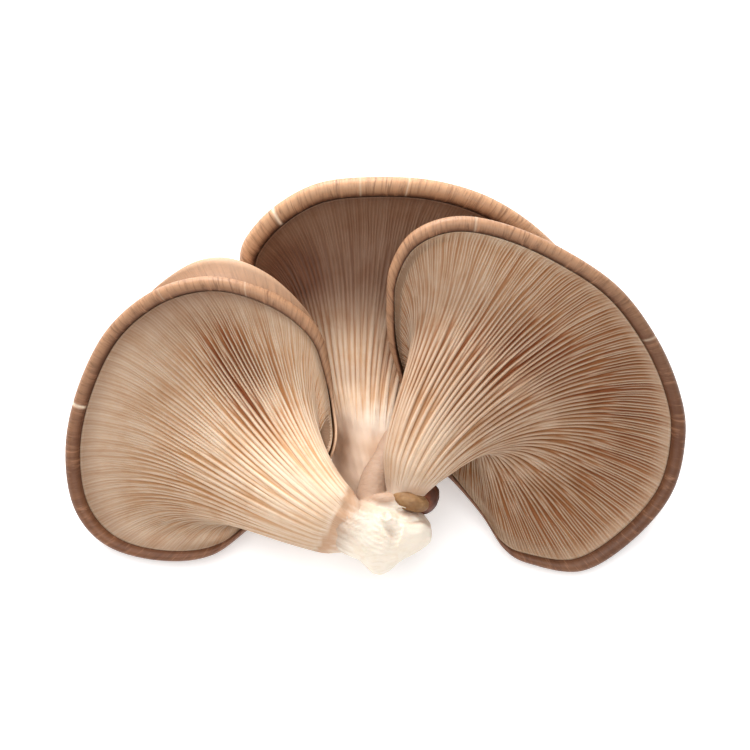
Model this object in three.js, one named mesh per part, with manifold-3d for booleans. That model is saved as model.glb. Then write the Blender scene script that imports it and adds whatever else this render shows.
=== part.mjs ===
// Oyster mushroom cluster, picked and laid on its back with the gills upwards.
// Three fan-shaped fruit bodies grow from one torn white butt, and a tiny young mushroom is
// pressed between the butt and the foot of the right-hand stem.
// Each fruit body is a brown cap that rolls over its rim, and a cream body of gills and stem.

import * as THREE from 'three';
import { mergeVertices } from 'three/addons/utils/BufferGeometryUtils.js';
import Module from 'manifold-3d';

const wasm = await Module();
wasm.setup();

// Places are given in the plan of the gill side, in millimetres:
// p to the right, q away from the butt, d up out of the gills. The plan leans back by this angle.
const PLAN_LEAN = THREE.MathUtils.degToRad(23);
const SEAM = 0.3; // clear gap where two pieces meet
const RIM_SHARE = 0.09; // the roll of the brown skin is never more than this share of the way to the hub
const SHORT_REACH = 30; // on the short side by the stem the gills end further in from the rim,
const SHORT_CLEARANCE = 0.07; // by this share of what they lack of that reach
const CAP_SHARE = 0.6; // share of the way from the gills to the top where the cap's flesh begins
const EDGE_FLESH = 1.3; // flesh behind the gills' ends at the rim
const OPEN_REACH = 45; // gills longer than this hang over the full hollow
const STEM_BACK = 0.75; // the stems are flatter at the back
const CAP_COLUMNS = 40;
const COLUMNS_PER_CAP_COLUMN = 3; // two columns to a gill: its edge, and the groove beside it
const GILL_COLUMNS = CAP_COLUMNS * COLUMNS_PER_CAP_COLUMN;
const GILL_ROWS = 12;
const GILL_DEPTH = 1.5;
const REST_CUT = 0.7; // how far the caps are at least pressed flat where they carry the weight

const COLOURS = {
  cap: '#7d5a3f',
  gills: '#d8bf9f',
  butt: '#f1e8da',
  youngCap: '#4a2c1c',
  youngStem: '#b3926a',
};

// Rims run round each cap from the side of the stem, against the clock.
const LEFT = {
  name: 'left',
  rim: [
    [-10.5, -8, -4], [-13.5, 9.5, -3], [-21.5, 18.5, 0], [-33.5, 24, 2], [-45.5, 25.5, 1], [-59, 21.5, -3],
    [-71, 11.5, -8], [-79, -4, -12], [-82.5, -20, -16], [-80.5, -35.5, -19], [-72, -45.5, -20],
    [-57.5, -49.5, -19], [-43.5, -48, -18], [-31.5, -39.5, -19], [-18, -31, -13], [-10.5, -19.5, 0],
  ],
  foot: [-2, -40.5, 7],
  neck: [-16.5, -37, 1],
  hub: [-27, -24, -7],
  far: [-0.75, 0.55, 0.1],
  down: [0.1, 0.27, -0.96],
  crown: [-19, 4, -2],
  footRadius: 7.2,
  hubRadius: 8,
  flare: [3, 4.5],
  bend: { flare: 0.5, turn: 1.8, spread: 0.8 },
  hollow: 5,
  dome: 18,
  rimRadius: 2,
  hump: { size: 8.8, place: 0.192, spread: 0.095 },
  thin: { share: 0.65, place: 0.955, spread: 0.085 },
};

const RIGHT = {
  name: 'right',
  rim: [
    [3, 19.5, -5], [4, 28.5, -2], [9.5, 37, 1], [20, 41, 3], [32.5, 39.5, 3], [47.5, 33.5, 1], [63.3, 23.4, -3],
    [74, 10, -7], [80.5, -4, -11], [82.5, -16.5, -14], [79.2, -31.5, -17], [68.8, -44.2, -19],
    [55.5, -52.3, -19], [41.5, -50.5, -19], [34.5, -46.5, -19], [28.5, -37.5, -19], [20.3, -28, -17],
    [11, -20, -14], [6.5, -1.5, -11], [3.5, 9, -8],
  ],
  foot: [7.5, -33, 2],
  neck: [8, -20, 5],
  hub: [21, -6.5, -6],
  far: [0.75, 0.5, 0.1],
  down: [-0.06, 0.24, -0.97],
  crown: [24, -6, -3],
  footRadius: 6.2,
  hubRadius: 8,
  flare: [3.2, 8],
  bend: { flare: 14, turn: 2.4, spread: 1 },
  hollow: 5,
  dome: 17,
  rimRadius: 2,
  hump: { size: 0, place: 0, spread: 1 },
  thin: { share: 0.6, place: 0.83, spread: 0.14 },
};

const BACK = {
  name: 'back',
  rim: [
    [-36.5, 30.5, -22], [-34.3, 37.3, -19], [-26.2, 45.3, -15], [-14.5, 51, -12], [1, 52.4, -11], [17, 51.3, -12],
    [32, 46.5, -14], [45.6, 37.5, -19], [54, 27, -25], [53, 12.5, -31], [39.5, -1.5, -35],
    [20.5, -9.5, -37], [3, -14, -38], [-12.5, -7.5, -37], [-27.5, 7, -32], [-35.5, 20.5, -27],
  ],
  foot: [2, -36, -8],
  neck: [-5, -19, -22],
  hub: [-2.5, 1.5, -35],
  far: [0, 0.9, 0.2],
  down: [0, 0.3, -0.95],
  crown: [4, 14, 2],
  footRadius: 6,
  hubRadius: 8,
  flare: [3.6, 5],
  bend: { flare: 0, turn: 0, spread: 1 },
  hollow: 4,
  dome: 12,
  hump: { size: 0, place: 0, spread: 1 },
  rimRadius: 2.8,
  thin: { share: 0, place: 0, spread: 1 },
};

// The butt is a chain of rounded sections along p: p, q, d, half height along q, half depth along d.
const BUTT_SECTIONS = [
  [-8.5, -37, 5, 3.5, 4], [-6.5, -38.5, 5, 6.9, 7], [-3.5, -41, 4, 8.3, 9.5], [0, -42.5, 2, 8.7, 10.5],
  [3.5, -42, 1, 8.4, 10.5], [6.5, -41.5, 1, 7.1, 9.5], [9.5, -41, 1, 6, 8], [12, -40.5, 1, 4.5, 6.5],
  [14.5, -41, 1, 2.6, 4],
];
const BUTT_ENDS = [[-9.5, -36.5, 5], [15, -41, 1]];
const BUTT_COLUMNS = 24;

// The young mushroom: centre p, q, d, half sizes, and turn in the plan in degrees.
const YOUNG_CAP = { centre: [11.5, -31.5, -2], half: [5.1, 5, 6], turn: 0 };
const YOUNG_STEM = { centre: [10, -33, 5], half: [4.8, 2.5, 3.6], turn: -15 };

const lean = new THREE.Matrix4().makeRotationX(PLAN_LEAN);

function plan([p, q, d]) {
  return new THREE.Vector3(p, q, d).applyMatrix4(lean);
}

const VIEW = plan([0, 0, 1]);

// 1. Surfaces of a fruit body

// 1 at a place on the way round the rim, fading to 0 at either side of it.
function near(share, { place, spread }, steepness) {
  const away = ((share - place + 1.5) % 1) - 0.5;
  return Math.exp(-(Math.abs(away / spread) ** steepness));
}

// How soon the flesh leaves the stem: sooner on the near side, and on the side where the stem bends.
function flareAt(turn, { flare, bend }) {
  const away = Math.atan2(Math.sin(turn - bend.turn), Math.cos(turn - bend.turn));
  const plain = THREE.MathUtils.lerp(flare[0], flare[1], (1 - Math.cos(turn)) / 2);
  return plain + bend.flare * Math.exp(-((away / bend.spread) ** 2));
}

// Every surface is drawn by columns, one to a point of the rim, and by w,
// which is 1 at the rim and falls to 0 at the foot of the stem or at the crown of the cap.
function fruitBody(spec) {
  const curve = new THREE.CatmullRomCurve3(spec.rim.map(plan), true, 'catmullrom', 0.5);
  curve.arcLengthDivisions = 1600;
  const foot = plan(spec.foot);
  const neck = plan(spec.neck);
  const hub = plan(spec.hub);
  const down = plan(spec.down).normalize();
  const crown = plan(spec.crown);
  const far = plan(spec.far);
  far.addScaledVector(down, -far.dot(down)).normalize();
  const across = new THREE.Vector3().crossVectors(down, far);
  const columns = [];
  for (let i = 0; i < GILL_COLUMNS; i += 1) {
    const place = i / GILL_COLUMNS;
    const spoke = curve.getPointAt(place).sub(hub);
    const reach = spoke.length();
    const turn = Math.atan2(spoke.dot(across), spoke.dot(far));
    columns.push({
      spoke,
      reach,
      turn,
      roll: Math.min(spec.rimRadius, RIM_SHARE * reach) * (1 - spec.thin.share * near(place, spec.thin, 4)),
      flare: flareAt(turn, spec),
      hump: spec.hump.size * near(place, spec.hump, 2),
    });
  }
  return { ...spec, foot, neck, hub, down, crown, columns };
}

const shareAt = (column, inward) => 1 - inward / column.reach;
const seamEdge = (column) => shareAt(column, 2 * column.roll);
const gillEdge = (column) => (
  shareAt(column, 2 * column.roll + SEAM + SHORT_CLEARANCE * Math.max(0, SHORT_REACH - column.reach))
);
const domeHeight = (body, w) => body.dome * Math.max(0, 1 - w ** 3) ** 0.62;
// The gill side is deepest at about two thirds of the way out and level with the rim at its edge.
// It is shallower on the short side by the stem.
const hollowDepth = (body, column, s) => (
  body.hollow * Math.min(1, column.reach / OPEN_REACH) * 4 * Math.max(0, 1 - s) ** 0.7 * s ** 1.5
);

// A point level with the rim at share w, moved by a lift towards the cap's top.
function level(body, column, w, lift, sideways = 0) {
  return body.hub.clone()
    .addScaledVector(column.spoke, w + sideways / column.reach)
    .addScaledVector(body.down, lift);
}

function capTop(body, column, w) {
  const humpShape = Math.exp(-(((w - 0.88) / 0.1) ** 2));
  const sideways = column.hump * humpShape * THREE.MathUtils.clamp((0.97 - w) / 0.03, 0, 1);
  return level(body, column, w, domeHeight(body, w), sideways).addScaledVector(body.crown, 1 - w);
}

// The face where the cap's flesh meets the gill body, at share s of the way out to their seam.
function flesh(body, column, s, gap) {
  const w = s * seamEdge(column);
  const hollow = hollowDepth(body, column, s);
  const middle = CAP_SHARE * (domeHeight(body, w) - hollow);
  const lift = hollow + THREE.MathUtils.lerp(middle, EDGE_FLESH, s ** 6) - gap;
  return level(body, column, w, lift).addScaledVector(body.crown, (1 - s) * CAP_SHARE);
}

// The line of a gill's edge: level near the rim, then gathered round the bent axis of the stem.
function gillCrest(body, column, w) {
  const along = 1 - (1 - w) ** column.flare;
  const axis = new THREE.QuadraticBezierCurve3(body.foot, body.neck, body.hub);
  const heading = axis.getTangent(Math.min(along, 1));
  const front = VIEW.clone().addScaledVector(heading, -VIEW.dot(heading)).normalize();
  const side = new THREE.Vector3().crossVectors(heading, front);
  const s = w / gillEdge(column);
  const radius = THREE.MathUtils.lerp(body.footRadius, body.hubRadius, along) * (1 - s);
  const frontShare = Math.cos(column.turn) * (Math.cos(column.turn) < 0 ? STEM_BACK : 1);
  return axis.getPoint(Math.min(along, 1))
    .addScaledVector(column.spoke, w)
    .addScaledVector(front, radius * frontShare)
    .addScaledVector(side, radius * Math.sin(column.turn))
    .addScaledVector(body.down, hollowDepth(body, column, s));
}

// 2. Closed shells

// Rings of points from one pole to the other. A ring may have a whole multiple of its neighbour's points.
function shell(rings) {
  const points = [];
  const starts = rings.map((ring) => {
    const start = points.length;
    points.push(...ring);
    return start;
  });
  const faces = [];
  for (let r = 0; r + 1 < rings.length; r += 1) {
    const flip = rings[r].length > rings[r + 1].length;
    const coarse = flip ? r + 1 : r;
    const fine = flip ? r : r + 1;
    const count = rings[coarse].length;
    const multiple = rings[fine].length / count;
    const put = (a, b, c) => faces.push(flip ? [a, c, b] : [a, b, c]);
    const a = (i) => starts[coarse] + (i % count);
    const b = (i) => starts[fine] + (i % rings[fine].length);
    for (let i = 0; i < count; i += 1) {
      const middle = Math.ceil(multiple / 2);
      for (let j = 0; j < multiple; j += 1) {
        const k = i * multiple + j;
        put(j < middle || count === 1 ? a(i) : a(i + 1), b(k + 1), b(k));
      }
      if (count > 1) put(a(i), a(i + 1), b(i * multiple + middle));
    }
  }
  const geometry = new THREE.BufferGeometry();
  geometry.setAttribute('position', new THREE.Float32BufferAttribute(points.flatMap((v) => v.toArray()), 3));
  geometry.setIndex(faces.flat());
  return facingOut(geometry);
}

function facingOut(geometry) {
  const position = geometry.getAttribute('position');
  const index = geometry.getIndex();
  const corner = (i) => new THREE.Vector3().fromBufferAttribute(position, index.getX(i));
  let volume = 0;
  for (let i = 0; i < index.count; i += 3) {
    volume += corner(i).dot(corner(i + 1).cross(corner(i + 2)));
  }
  if (volume < 0) {
    for (let i = 0; i < index.count; i += 3) {
      const swap = index.getX(i);
      index.setX(i, index.getX(i + 1));
      index.setX(i + 1, swap);
    }
  }
  return geometry;
}

function toSolid(geometry) {
  const plain = geometry.clone();
  plain.deleteAttribute('normal');
  plain.deleteAttribute('uv');
  const merged = mergeVertices(plain);
  return new wasm.Manifold(new wasm.Mesh({
    numProp: 3,
    vertProperties: new Float32Array(merged.getAttribute('position').array),
    triVerts: new Uint32Array(merged.getIndex().array),
  }));
}

function fromSolid(solid) {
  const mesh = solid.getMesh();
  const geometry = new THREE.BufferGeometry();
  geometry.setAttribute('position', new THREE.Float32BufferAttribute(mesh.vertProperties, 3));
  geometry.setIndex(Array.from(mesh.triVerts));
  return geometry;
}

// What is left of a piece once others are taken out of it: its largest part.
function cutBack(geometry, others) {
  let solid = toSolid(geometry);
  for (const other of others) solid = solid.subtract(toSolid(other));
  const parts = solid.decompose();
  parts.sort((one, two) => two.volume() - one.volume());
  return fromSolid(parts[0]);
}

// 3. Cap and gills

const capColumns = (body) => body.columns.filter((column, i) => i % COLUMNS_PER_CAP_COLUMN === 0);
const CROWN_RINGS = [0.28, 0.52, 0.72, 0.86];
const FLESH_RINGS = [1, 0.85, 0.58, 0.29];
// The roll of the rim: how far in from the rim, and how far towards the top, in rim radii.
const ROLL = [[0.9, 1.6], [0.3, 0.75], [0, 0], [0.3, -0.75], [1, -1], [1.7, -0.7], [2, 0.1]];

function capShell(body) {
  const columns = capColumns(body);
  const ringOf = (place) => columns.map(place);
  const rollPoint = (column, [inward, lift]) => (
    level(body, column, shareAt(column, inward * column.roll), lift * column.roll)
  );
  return shell([
    [capTop(body, columns[0], 0)],
    ...CROWN_RINGS.map((w) => ringOf((column) => capTop(body, column, w))),
    ...ROLL.map((step) => ringOf((column) => rollPoint(column, step))),
    ...FLESH_RINGS.map((share) => ringOf((column) => flesh(body, column, share, 0))),
    [flesh(body, columns[0], 0, 0)],
  ]);
}

// Gills are raised from the crest surface: every second column is pushed in by the gill's depth.
function gillShell(body) {
  const rows = [];
  for (let r = 0; r <= GILL_ROWS; r += 1) {
    const fall = (1 - r / GILL_ROWS) ** 1.15;
    rows.push(body.columns.map((column) => gillCrest(body, column, fall * gillEdge(column))));
  }
  const inward = (r, i) => {
    const before = (i + GILL_COLUMNS - 1) % GILL_COLUMNS;
    const after = (i + 1) % GILL_COLUMNS;
    const across = rows[r][after].clone().sub(rows[r][before]);
    const along = rows[Math.min(r + 1, GILL_ROWS)][i].clone().sub(rows[Math.max(r - 1, 0)][i]);
    return across.cross(along).normalize();
  };
  const sign = Math.sign(inward(0, 0).dot(body.down));
  const ridged = rows.map((row, r) => row.map((point, i) => {
    if (r === 0) return alongFacet(row, i);
    if (i % 2 === 0) return point;
    const fromRim = THREE.MathUtils.smoothstep(r / GILL_ROWS, 0, 0.12);
    const fromFoot = THREE.MathUtils.smoothstep(1 - r / GILL_ROWS, 0.06, 0.4);
    const depth = Math.min(GILL_DEPTH, 0.05 * body.columns[i].reach + 0.2) * fromRim * fromFoot;
    return point.clone().addScaledVector(inward(r, i), sign * depth);
  }));
  const columns = capColumns(body);
  const edgeRing = columns.map((column) => level(body, column, gillEdge(column), EDGE_FLESH - SEAM));
  const backRing = (share) => columns.map((column) => flesh(body, column, share, SEAM));
  return shell([
    [body.foot],
    ...ridged.toReversed(),
    edgeRing,
    ...FLESH_RINGS.slice(1).map(backRing),
    [flesh(body, columns[0], 0, SEAM)],
  ]);
}

// Along the rim the gills' ends follow the straight facets of the cap that they meet.
function alongFacet(row, i) {
  const offset = i % COLUMNS_PER_CAP_COLUMN;
  const next = (i - offset + COLUMNS_PER_CAP_COLUMN) % row.length;
  return row[i - offset].clone().lerp(row[next], offset / COLUMNS_PER_CAP_COLUMN);
}

// The caps are pressed flat where they lie on the surface.
function pressFlat(geometry, floor) {
  const position = geometry.getAttribute('position');
  for (let i = 0; i < position.count; i += 1) {
    position.setZ(i, Math.max(position.getZ(i), floor));
  }
  geometry.computeBoundingBox();
  return geometry;
}

// 4. Butt and young mushroom

function buttShell(extra) {
  const rings = BUTT_SECTIONS.map(([p, q, d, height, depth], s) => {
    const ring = [];
    for (let i = 0; i < BUTT_COLUMNS; i += 1) {
      const angle = (i / BUTT_COLUMNS) * 2 * Math.PI;
      const lump = 1 + 0.035 * Math.sin(3 * angle + 1.3 * s) + 0.03 * Math.sin(5 * angle - 2.1 * s);
      ring.push(plan([
        p,
        q + (height * lump + extra) * Math.cos(angle),
        d + (depth * lump + extra) * Math.sin(angle),
      ]));
    }
    return ring;
  });
  const [start, end] = BUTT_ENDS;
  return shell([
    [plan([start[0] - extra, start[1], start[2]])],
    ...rings,
    [plan([end[0] + extra, end[1], end[2]])],
  ]);
}

function egg({ centre, half, turn }, extra) {
  const geometry = new THREE.SphereGeometry(1, 16, 10);
  geometry.deleteAttribute('normal');
  geometry.deleteAttribute('uv');
  geometry.scale(half[0] + extra, half[1] + extra, half[2] + extra);
  geometry.rotateZ(THREE.MathUtils.degToRad(turn));
  geometry.translate(...centre);
  geometry.applyMatrix4(lean);
  return mergeVertices(geometry);
}

// 5. The cluster

const butt = buttShell(0);
const youngStem = cutBack(egg(YOUNG_STEM, 0), [buttShell(SEAM)]);
const youngCap = cutBack(egg(YOUNG_CAP, 0), [buttShell(SEAM), egg(YOUNG_STEM, SEAM)]);
const footCuts = [buttShell(SEAM), egg(YOUNG_STEM, SEAM), egg(YOUNG_CAP, SEAM)];

const model = new THREE.Group();

function addPiece(name, geometry, colour, roughness) {
  const material = new THREE.MeshStandardMaterial({ color: colour, roughness, metalness: 0 });
  const mesh = new THREE.Mesh(geometry, material);
  mesh.name = name;
  model.add(mesh);
}

const bodies = [LEFT, RIGHT, BACK].map(fruitBody);
const caps = bodies.map(capShell);
const lowest = caps.map((cap) => {
  cap.computeBoundingBox();
  return cap.boundingBox.min.z;
});
const floor = Math.max(...lowest) + REST_CUT;
bodies.forEach((body, i) => {
  addPiece(`${body.name}_cap`, pressFlat(caps[i], floor), COLOURS.cap, 0.6);
  addPiece(`${body.name}_gills_and_stem`, cutBack(gillShell(body), footCuts), COLOURS.gills, 0.75);
});
addPiece('butt', butt, COLOURS.butt, 0.7);
addPiece('young_cap', youngCap, COLOURS.youngCap, 0.5);
addPiece('young_stem', youngStem, COLOURS.youngStem, 0.7);

// The origin is the middle of the box, on the surface that the caps rest on.
const box = new THREE.Box3().setFromObject(model);
const middle = box.getCenter(new THREE.Vector3());
model.position.set(-middle.x, -middle.y, -box.min.z);

const cluster = new THREE.Group();
cluster.add(model);

export default cluster;
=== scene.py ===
# %% [markdown]
# # An oyster mushroom cluster, gills up
# Three fan-shaped fruit bodies grow from one torn white butt. The cluster has been picked and laid
# on its back, so the camera looks down on the gills. Each body is a thin brown cap that rolls over
# its rim, and a cream body of gills that run down its stem. We build each of them as a fine mesh in
# the place of its plain CAD solid, then the butt, and the tiny young mushroom beside it.

import math

import bpy
import numpy as np
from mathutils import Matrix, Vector, noise


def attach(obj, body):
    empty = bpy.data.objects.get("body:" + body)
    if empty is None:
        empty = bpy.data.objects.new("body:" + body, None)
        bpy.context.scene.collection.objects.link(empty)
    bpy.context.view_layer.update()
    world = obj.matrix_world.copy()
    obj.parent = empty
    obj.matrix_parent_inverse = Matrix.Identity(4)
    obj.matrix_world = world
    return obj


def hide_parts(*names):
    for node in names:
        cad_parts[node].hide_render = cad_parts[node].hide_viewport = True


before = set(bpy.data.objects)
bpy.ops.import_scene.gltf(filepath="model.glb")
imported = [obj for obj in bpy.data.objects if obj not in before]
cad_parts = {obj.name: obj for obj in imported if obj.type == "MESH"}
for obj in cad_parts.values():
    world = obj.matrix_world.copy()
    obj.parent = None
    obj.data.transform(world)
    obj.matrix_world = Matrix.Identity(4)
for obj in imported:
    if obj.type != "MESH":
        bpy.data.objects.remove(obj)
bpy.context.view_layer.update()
print("solids to dress:", sorted(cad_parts))

# %% [markdown]
# ## The plan
# Every place below is given in the plan of the gill side, in millimetres: p to the right, q away
# from the butt and d up out of the gills. The cluster leans back by 23 degrees, so one turn about X
# and one shift carry the plan into the world. Both are those of the CAD source, because each fine
# piece has to lie where its solid lies.

# %% From the plan to the world
PLAN_LEAN = math.radians(23)
SHIFT = np.array([0.003, -2.420, 40.842])
LEAN = np.array([
    [1, 0, 0],
    [0, math.cos(PLAN_LEAN), -math.sin(PLAN_LEAN)],
    [0, math.sin(PLAN_LEAN), math.cos(PLAN_LEAN)],
])


def plan(points):
    """Turns plan coordinates into world directions, still in millimetres."""
    return np.asarray(points, float) @ LEAN.T


def unplan(points):
    return np.asarray(points, float) @ LEAN


def metres(points):
    """The place in the world, in metres."""
    return (points + SHIFT) / 1000


VIEW = plan([0, 0, 1])
print("the gill side faces", np.round(VIEW, 3))

# %% [markdown]
# ## The camera and the studio
# The photograph looks straight down on the plan, which is 67 degrees above the horizon here. A long
# lens keeps the perspective flat. The light is one broad soft box from behind the caps, as in the
# photograph, where the rolled rims at the top throw a soft shade on the gills under them. A wide
# fill overhead and a pale world keep the shade open.

# %% Camera
PLAN_ORIGIN = metres(np.zeros(3))
CAMERA_DISTANCE = 0.65


def linked(name, data):
    piece = bpy.data.objects.new(name, data)
    bpy.context.collection.objects.link(piece)
    return piece


def aimed(name, data, place, heading):
    """A camera or light at a place, looking the way of heading."""
    piece = linked(name, data)
    piece.location = place
    piece.rotation_mode = "QUATERNION"
    piece.rotation_quaternion = heading.to_track_quat("-Z", "Y")
    return piece


camera_data = bpy.data.cameras.new("camera")
for key, value in dict(lens=120, sensor_width=36, clip_start=0.01, clip_end=10).items():
    setattr(camera_data, key, value)
camera = aimed("camera", camera_data, Vector(PLAN_ORIGIN + VIEW * CAMERA_DISTANCE), Vector(-VIEW))
bpy.context.scene.camera = camera
bpy.context.scene.view_settings.view_transform = "Standard"
print("camera at", [round(v, 3) for v in camera.location])


# %% Lights
LIGHT_TARGET = Vector((0, 0, 0.02))


def soft_box(name, place, size, power, colour=(1, 1, 1)):
    data = bpy.data.lights.new(name, "AREA")
    data.shape = "DISK"
    data.size = size
    data.energy = power
    data.color = colour
    aimed(name, data, place, LIGHT_TARGET - Vector(place))


soft_box("key", (-0.25, 0.95, 0.55), 0.6, 19.5, (1.0, 0.98, 0.96))
soft_box("overhead", (-0.1, -0.25, 1.1), 0.9, 8.4)
world = bpy.data.worlds.new("studio")
world.use_nodes = True
background = world.node_tree.nodes["Background"]
background.inputs["Color"].default_value = (1.0, 1.0, 1.0, 1.0)
background.inputs["Strength"].default_value = 0.52
bpy.context.scene.world = world

# %% [markdown]
# ## Small helpers for materials
# A material here is a tree of nodes around one Principled shader. These helpers add a node, set its
# values and join sockets, so that each finish below reads as a short list of what it is made of.


# %% Material helpers
FLESH_SPECULAR = 0.35
FLESH_RADIUS = (1.0, 0.55, 0.3)


def rgb(text):
    """A display colour such as d8bf9f as a linear RGBA value."""
    channels = [int(text[i:i + 2], 16) / 255 for i in (0, 2, 4)]
    linear = [c / 12.92 if c <= 0.04045 else ((c + 0.055) / 1.055) ** 2.4 for c in channels]
    return (*linear, 1.0)


def put(value, socket):
    """Joins an output to a socket, or sets the socket to a number or a colour."""
    if isinstance(value, bpy.types.NodeSocket):
        socket.id_data.links.new(value, socket)
    else:
        socket.default_value = value


def add_node(tree, kind, inputs=(), **settings):
    """A new node with its settings. inputs pairs the names of sockets with what is put on them."""
    node = tree.nodes.new(kind)
    for key, value in settings.items():
        setattr(node, key, value)
    for key, value in dict(inputs).items():
        put(value, node.inputs[key])
    return node


class Finish:
    """A material and short ways to add nodes to it."""

    def __init__(self, name):
        self.material = bpy.data.materials.new(name)
        self.material.use_nodes = True
        self.tree = self.material.node_tree
        self.shader = self.tree.nodes["Principled BSDF"]
        coordinates = self.tree.nodes.new("ShaderNodeTexCoord")
        self.place = coordinates.outputs["Object"]
        self.uv = coordinates.outputs["UV"]

    def attribute(self, name):
        return add_node(self.tree, "ShaderNodeAttribute", attribute_name=name).outputs["Fac"]

    def noise(self, place, scale, detail=3.0, roughness=0.5, distortion=0.0):
        inputs = dict(Vector=place, Scale=scale, Detail=detail, Roughness=roughness, Distortion=distortion)
        return add_node(self.tree, "ShaderNodeTexNoise", inputs).outputs["Fac"]

    def stretch(self, place, scale):
        return add_node(self.tree, "ShaderNodeMapping", dict(Vector=place, Scale=scale)).outputs["Vector"]

    def fade(self, value, low, high, to_low=0.0, to_high=1.0):
        inputs = {"Value": value, "From Min": low, "From Max": high, "To Min": to_low, "To Max": to_high}
        node = add_node(self.tree, "ShaderNodeMapRange", inputs, interpolation_type="SMOOTHSTEP")
        return node.outputs["Result"]

    def sum(self, operation, *terms):
        return add_node(self.tree, "ShaderNodeMath", enumerate(terms), operation=operation).outputs["Value"]

    def blend(self, share, first, second, kind="MIX"):
        inputs = {0: share, 6: first, 7: second}
        return add_node(self.tree, "ShaderNodeMix", inputs, data_type="RGBA", blend_type=kind).outputs[2]

    def layers(self, colour, *steps):
        """Lays colours over the first one. Each step is a share, a colour and the kind of blend."""
        colour = rgb(colour) if isinstance(colour, str) else colour
        for share, step, *kind in steps:
            colour = self.blend(share, colour, rgb(step), *kind)
        return colour

    def bump(self, height, strength, distance, *under):
        inputs = dict(Height=height, Strength=strength, Distance=distance)
        inputs.update({"Normal": normal for normal in under})
        return add_node(self.tree, "ShaderNodeBump", inputs).outputs["Normal"]

    def flesh(self, colour, roughness, glow, depth, normal):
        """The last step: a soft skin that lets a little light through."""
        for key, value in {
            "Base Color": colour, "Roughness": roughness, "Normal": normal,
            "Specular IOR Level": FLESH_SPECULAR, "Subsurface Weight": glow,
            "Subsurface Scale": depth, "Subsurface Radius": FLESH_RADIUS,
        }.items():
            put(value, self.shader.inputs[key])
        return self.material


print("material helpers ready")

# %% [markdown]
# ## The gill flesh
# Gills are thin blades of pale flesh. Their edges are cream to tan. The groove between two blades
# is painted golden to reddish brown: painted shade deep in the groove, with the warm light that has
# passed through the flesh painted in.
# The mesh of a gill body carries numbers for the material: how deep a point lies in a groove, how
# pale, stained, grey or bare its part of the cap is, how much painted shade falls there, and a
# random number for each gill.


# %% Finish of the gills and stems
def gill_finish():
    finish = Finish("gill_flesh")
    depth = finish.attribute("depth")
    each = finish.attribute("gill")
    open_share = finish.fade(finish.sum("MULTIPLY_ADD", each, 0.35, depth), 0.1, 1.1, 0.25, 1.0)
    groove = finish.sum("MULTIPLY", finish.fade(finish.attribute("groove"), 0.18, 0.8), open_share)
    pale = finish.attribute("pale")
    stain = finish.sum("MULTIPLY", finish.attribute("stain"), finish.fade(each, 0.0, 1.0, 0.65, 1.25))
    grey_and_shade = finish.attribute("grey_and_shade")
    # The greyer brown on edges and in grooves is partly the flesh's own tint and partly painted shade.
    edge = finish.layers(
        "b39881", (pale, "efd8be"), (grey_and_shade, "623b25"), (finish.sum("MULTIPLY", stain, 0.15), "a5805c"),
    )
    # The groove colour is painted shade deep between the blades, warmed by painted light through the flesh.
    deep = finish.layers("956a41", (pale, "d9a066"), (stain, "8a4a1f"), (grey_and_shade, "4a2c1b"))
    blotch = finish.noise(finish.place, 140.0, 4.0, 0.6)
    fibres = finish.noise(finish.stretch(finish.uv, (1.0, 0.07, 1.0)), 2600.0, 3.0, 0.6)
    grain = finish.noise(finish.place, 1900.0, 3.0, 0.6)
    colour = finish.layers(
        finish.blend(groove, edge, deep),
        (finish.fade(blotch, 0.42, 0.72, 0.0, 0.35), "e2c49c", "MULTIPLY"),
        (finish.fade(each, 0.0, 1.0, 0.0, 0.2), "c9a57f", "MULTIPLY"),
        (finish.fade(fibres, 0.35, 0.75, 0.0, 0.2), "b98f62", "MULTIPLY"),
    )
    skin = finish.layers(
        "ece0d0", (finish.attribute("skin"), "b88e6d"),
        (finish.fade(finish.attribute("stain"), 0.1, 0.8), "8a6245"),
        (finish.fade(blotch, 0.4, 0.7, 0.0, 0.3), "c9a98c"),
    )
    colour = finish.blend(finish.attribute("bare"), colour, skin)
    normal = finish.bump(grain, 0.12, 0.0004)
    normal = finish.bump(fibres, 0.3, 0.0004, normal)
    return finish.flesh(colour, 0.62, 0.15, 0.0015, normal)


GILL_FINISH = gill_finish()
print("finish:", GILL_FINISH.name)

# %% [markdown]
# ## The cap skin
# The skin is a matt pinkish brown, a little paler near the rim, with fine streaks that run across
# the roll. On rims that face the key light a paler rosy band along the roll is a painted highlight,
# and the roll's inner side is painted shade; the right body's roll is painted darker too. The pale
# hump of the left dome is partly a pale bloom and partly a painted highlight. The UV map of a cap
# runs along the rim and in from the rim, both in metres, so a noise stretched across the rim gives
# the streaks.


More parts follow.
